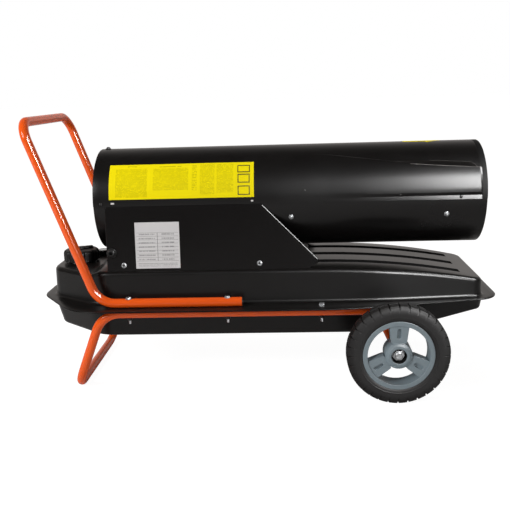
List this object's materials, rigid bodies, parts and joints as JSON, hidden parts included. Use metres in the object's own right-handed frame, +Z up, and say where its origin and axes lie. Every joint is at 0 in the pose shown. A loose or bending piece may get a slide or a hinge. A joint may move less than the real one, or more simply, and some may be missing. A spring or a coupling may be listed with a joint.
{
  "type": "forced air heater",
  "caption": "Direct oil-fired forced air heater: a black barrel over a flanged fuel tank, on an orange tube frame with a handle, foot bar and wheels.",
  "frame": {"origin": "on the floor, under the middle of the heater's bounding box", "axes": "+X along the barrel towards the warm air outlet, +Y to the left, +Z up; it stands on its tyres and its foot bar"},
  "size_m": [0.965, 0.47, 0.5665],
  "materials": {
    "body_black": "semi-gloss powder coat",
    "frame_orange": "gloss powder coat",
    "plug_black": "moulded",
    "zinc_fixings": "zinc plated",
    "spacer_black": "moulded",
    "rim_grey": "moulded grey",
    "tyre_black": "moulded rubber",
    "guard_black": "black coated steel",
    "motor_grey": "painted steel",
    "bracket_grey": "pressed sheet",
    "shaft_steel": "ground",
    "fan_alloy": "pressed",
    "pump_alloy": "die cast",
    "rotor_carbon": "carbon",
    "dial_face": "gauge with a clear window",
    "cover_black": "moulded",
    "hot_steel": "heat-resisting steel",
    "nozzle_brass": "turned",
    "electrode_ceramic": "insulated electrodes",
    "hose_black": "fuel-resistant hose",
    "transformer_black": "potted case",
    "board_green": "printed circuit board",
    "thermostat_grey": "moulded",
    "knob_black": "moulded",
    "rocker_red": "moulded",
    "strainer_white": "mesh basket",
    "gasket_black": "nitrile",
    "cap_black": "moulded",
    "pointer_red": "moulded",
    "float_cork": "sealed float",
    "label_yellow": "laminated label",
    "plate_silver": "laminated label"
  },
  "bodies": {
    "heater": {"tank_upper": "body_black", "tank_lower": "body_black", "handle_tube": "frame_orange", "lower_frame_tube": "frame_orange", "tube_end_plugs": "plug_black", "frame_bolts": "zinc_fixings", "frame_nuts": "guard_black", "axle": "zinc_fixings", "axle_spacers": "spacer_black", "axle_washers": "zinc_fixings", "axle_nuts": "zinc_fixings", "upper_shell": "body_black", "lower_shell": "body_black", "right_side_panel": "body_black", "left_side_panel": "body_black", "rear_plate": "body_black", "front_plate": "body_black", "panel_screws": "zinc_fixings", "shell_screws": "zinc_fixings", "intake_guard": "guard_black", "motor": "motor_grey", "motor_bracket": "bracket_grey", "pump_housing": "pump_alloy", "pressure_gauge": "dial_face", "air_filter_cover": "cover_black", "combustion_chamber": "hot_steel", "outlet_cone": "hot_steel", "flame_deflector": "hot_steel", "burner_head": "hot_steel", "nozzle": "nozzle_brass", "igniter_electrodes": "electrode_ceramic", "photocell": "cover_black", "fuel_hose": "hose_black", "air_hose": "hose_black", "fuel_pickup": "zinc_fixings", "ignition_transformer": "transformer_black", "control_board": "board_green", "thermostat": "thermostat_grey", "switch_housing": "cover_black", "cable_gland": "cover_black", "filler_neck": "zinc_fixings", "filler_strainer": "strainer_white", "fuel_gauge": "cover_black", "drain_plug": "zinc_fixings", "instruction_label": "label_yellow", "rating_plate": "plate_silver", "arrow_label": "label_yellow"},
    "right_wheel": {"right_wheel_rim": "rim_grey", "right_tyre": "tyre_black"},
    "left_wheel": {"left_wheel_rim": "rim_grey", "left_tyre": "tyre_black"},
    "fan_rotor": {"motor_shaft": "shaft_steel", "fan": "fan_alloy", "pump_rotor": "rotor_carbon"},
    "thermostat_dial": {"thermostat_knob": "knob_black"},
    "rocker": {"power_rocker": "rocker_red"},
    "cap_seal": {"cap_gasket": "gasket_black"},
    "cap": {"fuel_cap": "cap_black"},
    "pointer": {"gauge_pointer": "pointer_red"},
    "float": {"float_arm": "float_cork"}
  },
  "joints": [
    {"name": "right_wheel_spin", "type": "hinge", "parent": "heater", "child": "right_wheel", "pos_m": [0.264, -0.213, 0.1], "axis": [0, 1, 0], "continuous": true},
    {"name": "left_wheel_spin", "type": "hinge", "parent": "heater", "child": "left_wheel", "pos_m": [0.264, 0.213, 0.1], "axis": [0, 1, 0], "continuous": true},
    {"name": "fan_spin", "type": "hinge", "parent": "heater", "child": "fan_rotor", "pos_m": [-0.2, 0, 0.383], "axis": [1, 0, 0], "continuous": true},
    {"name": "thermostat_turn", "type": "hinge", "parent": "heater", "child": "thermostat_dial", "pos_m": [-0.07, 0.11449, 0.31708], "axis": [0, -0.9942, -0.1075], "range_deg": [0, 270]},
    {"name": "power_rock", "type": "hinge", "parent": "heater", "child": "rocker", "pos_m": [-0.14, 0.11151, 0.31675], "axis": [0, -0.1075, 0.9942], "range_deg": [0, 24]},
    {"name": "cap_lift", "type": "slide", "parent": "heater", "child": "cap_seal", "axis": [0, 0, 1], "range_m": [0, 0.08]},
    {"name": "cap_turn", "type": "hinge", "parent": "cap_seal", "child": "cap", "pos_m": [-0.4065, 0, 0.262], "axis": [0, 0, 1], "range_deg": [0, 90]},
    {"name": "float_swing", "type": "hinge", "parent": "heater", "child": "float", "pos_m": [-0.375, 0.062, 0.227], "axis": [0, -1, 0], "range_deg": [0, 26]},
    {"name": "pointer_turn", "type": "hinge", "parent": "heater", "child": "pointer", "pos_m": [-0.375, 0.062, 0.245], "axis": [0, 0, 1], "range_deg": [0, 90]}
  ],
  "couplings": [
    {"joint": "pointer_turn", "follows": "float_swing", "ratio": 3.46}
  ]
}
